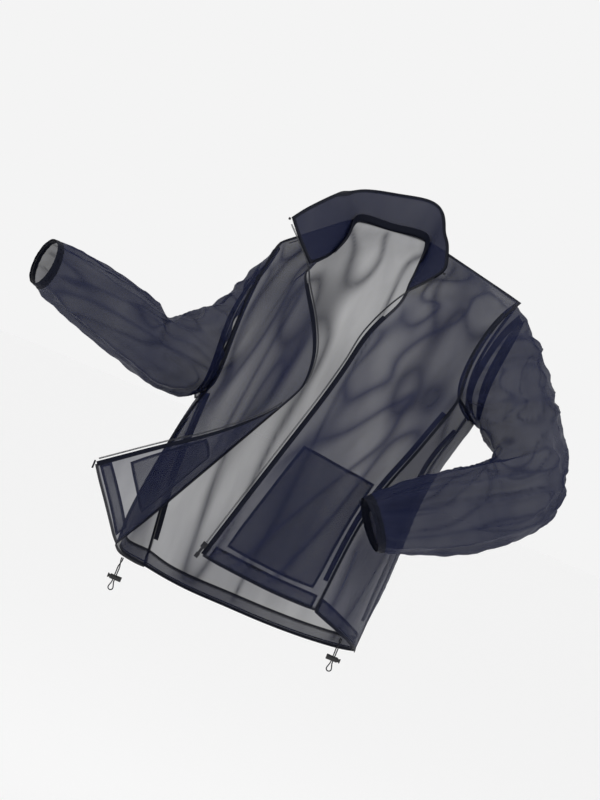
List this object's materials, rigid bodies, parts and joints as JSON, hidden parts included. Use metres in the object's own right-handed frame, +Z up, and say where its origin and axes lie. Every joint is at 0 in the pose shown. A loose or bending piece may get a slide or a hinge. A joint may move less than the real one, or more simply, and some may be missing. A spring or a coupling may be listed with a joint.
{
  "type": "sheer zip jacket",
  "caption": "Sheer unlined zip jacket with stand collar, gathered elastic cuffs, inner pockets and a drawcord hem with cord locks.",
  "frame": {"origin": "middle of the back neck seam", "axes": "+X to the wearer's left, +Y to the back, +Z up"},
  "size_m": [0.9614, 0.401, 0.8216],
  "materials": {
    "sheer_cloth": "sheer plain weave with a soft sheen",
    "binding": "folded cloth tape, matte",
    "zip_tape": "woven tape, matte",
    "zip_chain": "moulded coil, satin",
    "zip_metal": "dark plated",
    "lock_plastic": "moulded, satin",
    "cord": "braided",
    "elastic": "ribbed woven",
    "spring_steel": "drawn wire"
  },
  "bodies": {
    "torso": {"back_panel": "sheer_cloth", "collar_facing": "sheer_cloth", "collar_outer": "sheer_cloth", "hem_drawcord": "cord", "hem_facing": "sheer_cloth", "left_armhole_binding": "binding", "left_back_seam_binding": "binding", "left_cord_loop": "cord", "left_front": "sheer_cloth", "left_front_hem_facing": "sheer_cloth", "left_front_seam_binding": "binding", "left_pocket_bag": "sheer_cloth", "left_shoulder_binding": "binding", "left_side_panel": "sheer_cloth", "left_top_stop": "zip_metal", "left_zip_chain": "zip_chain", "left_zip_tape": "zip_tape", "neck_tape": "binding", "retainer_box": "zip_metal", "right_armhole_binding": "binding", "right_back_seam_binding": "binding", "right_cord_loop": "cord", "right_front": "sheer_cloth", "right_front_seam_binding": "binding", "right_shoulder_binding": "binding", "right_side_panel": "sheer_cloth", "right_top_stop": "zip_metal", "right_zip_chain": "zip_chain", "right_zip_tape": "zip_tape"},
    "flap": {"right_front_flap": "sheer_cloth", "right_zip_tape_flap": "zip_tape", "right_zip_chain_flap": "zip_chain", "insertion_pin": "zip_metal", "right_hem_facing": "sheer_cloth", "right_pocket_bag": "sheer_cloth"},
    "slider": {"slider_body": "zip_metal", "slider_bail": "zip_metal"},
    "pull_tab": {"pull_tab": "zip_metal"},
    "left_arm": {"left_sleeve_head": "sheer_cloth", "left_sleeve_upper": "sheer_cloth"},
    "left_forearm": {"left_sleeve_elbow": "sheer_cloth", "left_sleeve_forearm": "sheer_cloth", "left_cuff_binding": "binding", "left_cuff_elastic": "elastic"},
    "left_lock": {"left_lock_barrel": "lock_plastic", "left_lock_spring": "spring_steel"},
    "left_plunger": {"left_lock_plunger": "lock_plastic"},
    "right_arm": {"right_sleeve_head": "sheer_cloth", "right_sleeve_upper": "sheer_cloth"},
    "right_forearm": {"right_sleeve_elbow": "sheer_cloth", "right_sleeve_forearm": "sheer_cloth", "right_cuff_binding": "binding", "right_cuff_elastic": "elastic"},
    "right_lock": {"right_lock_barrel": "lock_plastic", "right_lock_spring": "spring_steel"},
    "right_plunger": {"right_lock_plunger": "lock_plastic"}
  },
  "joints": [
    {"name": "right_flap_turn", "type": "hinge", "parent": "torso", "child": "flap", "pos_m": [-0.034, -0.203, -0.304], "axis": [-0.4502, 0.2298, -0.8629], "range_deg": [-60, 5]},
    {"name": "zip_slide", "type": "slide", "parent": "torso", "child": "slider", "axis": [0.2616, 0.015, 0.9651], "range_m": [0, 0.24]},
    {"name": "pull_tab_swing", "type": "hinge", "parent": "slider", "child": "pull_tab", "pos_m": [-0.08598, -0.2108, -0.6088], "axis": [-0.9651, 0, 0.262], "range_deg": [0, 170]},
    {"name": "left_shoulder", "type": "hinge", "parent": "torso", "child": "left_arm", "pos_m": [0.2525, -0.06, -0.145], "axis": [0, -1, 0], "range_deg": [0, 20], "deforming": ["left_sleeve_head"]},
    {"name": "left_elbow", "type": "hinge", "parent": "left_arm", "child": "left_forearm", "pos_m": [0.372, -0.135, -0.306], "axis": [0, -1, 0], "range_deg": [-5, 30], "deforming": ["left_sleeve_elbow"]},
    {"name": "left_lock_travel", "type": "slide", "parent": "torso", "child": "left_lock", "axis": [0, 0, 1], "range_m": [0, 0.008]},
    {"name": "left_lock_press", "type": "slide", "parent": "left_lock", "child": "left_plunger", "axis": [-1, 0, 0], "range_m": [0, 0.0023], "stiffness_N_per_m": 600, "deforming": ["left_lock_spring"]},
    {"name": "right_shoulder", "type": "hinge", "parent": "torso", "child": "right_arm", "pos_m": [-0.1785, -0.0625, -0.2415], "axis": [0, 1, 0], "range_deg": [0, 15], "deforming": ["right_sleeve_head"]},
    {"name": "right_elbow", "type": "hinge", "parent": "right_arm", "child": "right_forearm", "pos_m": [-0.28, -0.13, -0.347], "axis": [0, 1, 0], "range_deg": [-15, 15], "deforming": ["right_sleeve_elbow"]},
    {"name": "right_lock_travel", "type": "slide", "parent": "torso", "child": "right_lock", "axis": [0, 0, 1], "range_m": [0, 0.008]},
    {"name": "right_lock_press", "type": "slide", "parent": "right_lock", "child": "right_plunger", "axis": [1, 0, 0], "range_m": [0, 0.0023], "stiffness_N_per_m": 600, "deforming": ["right_lock_spring"]}
  ]
}
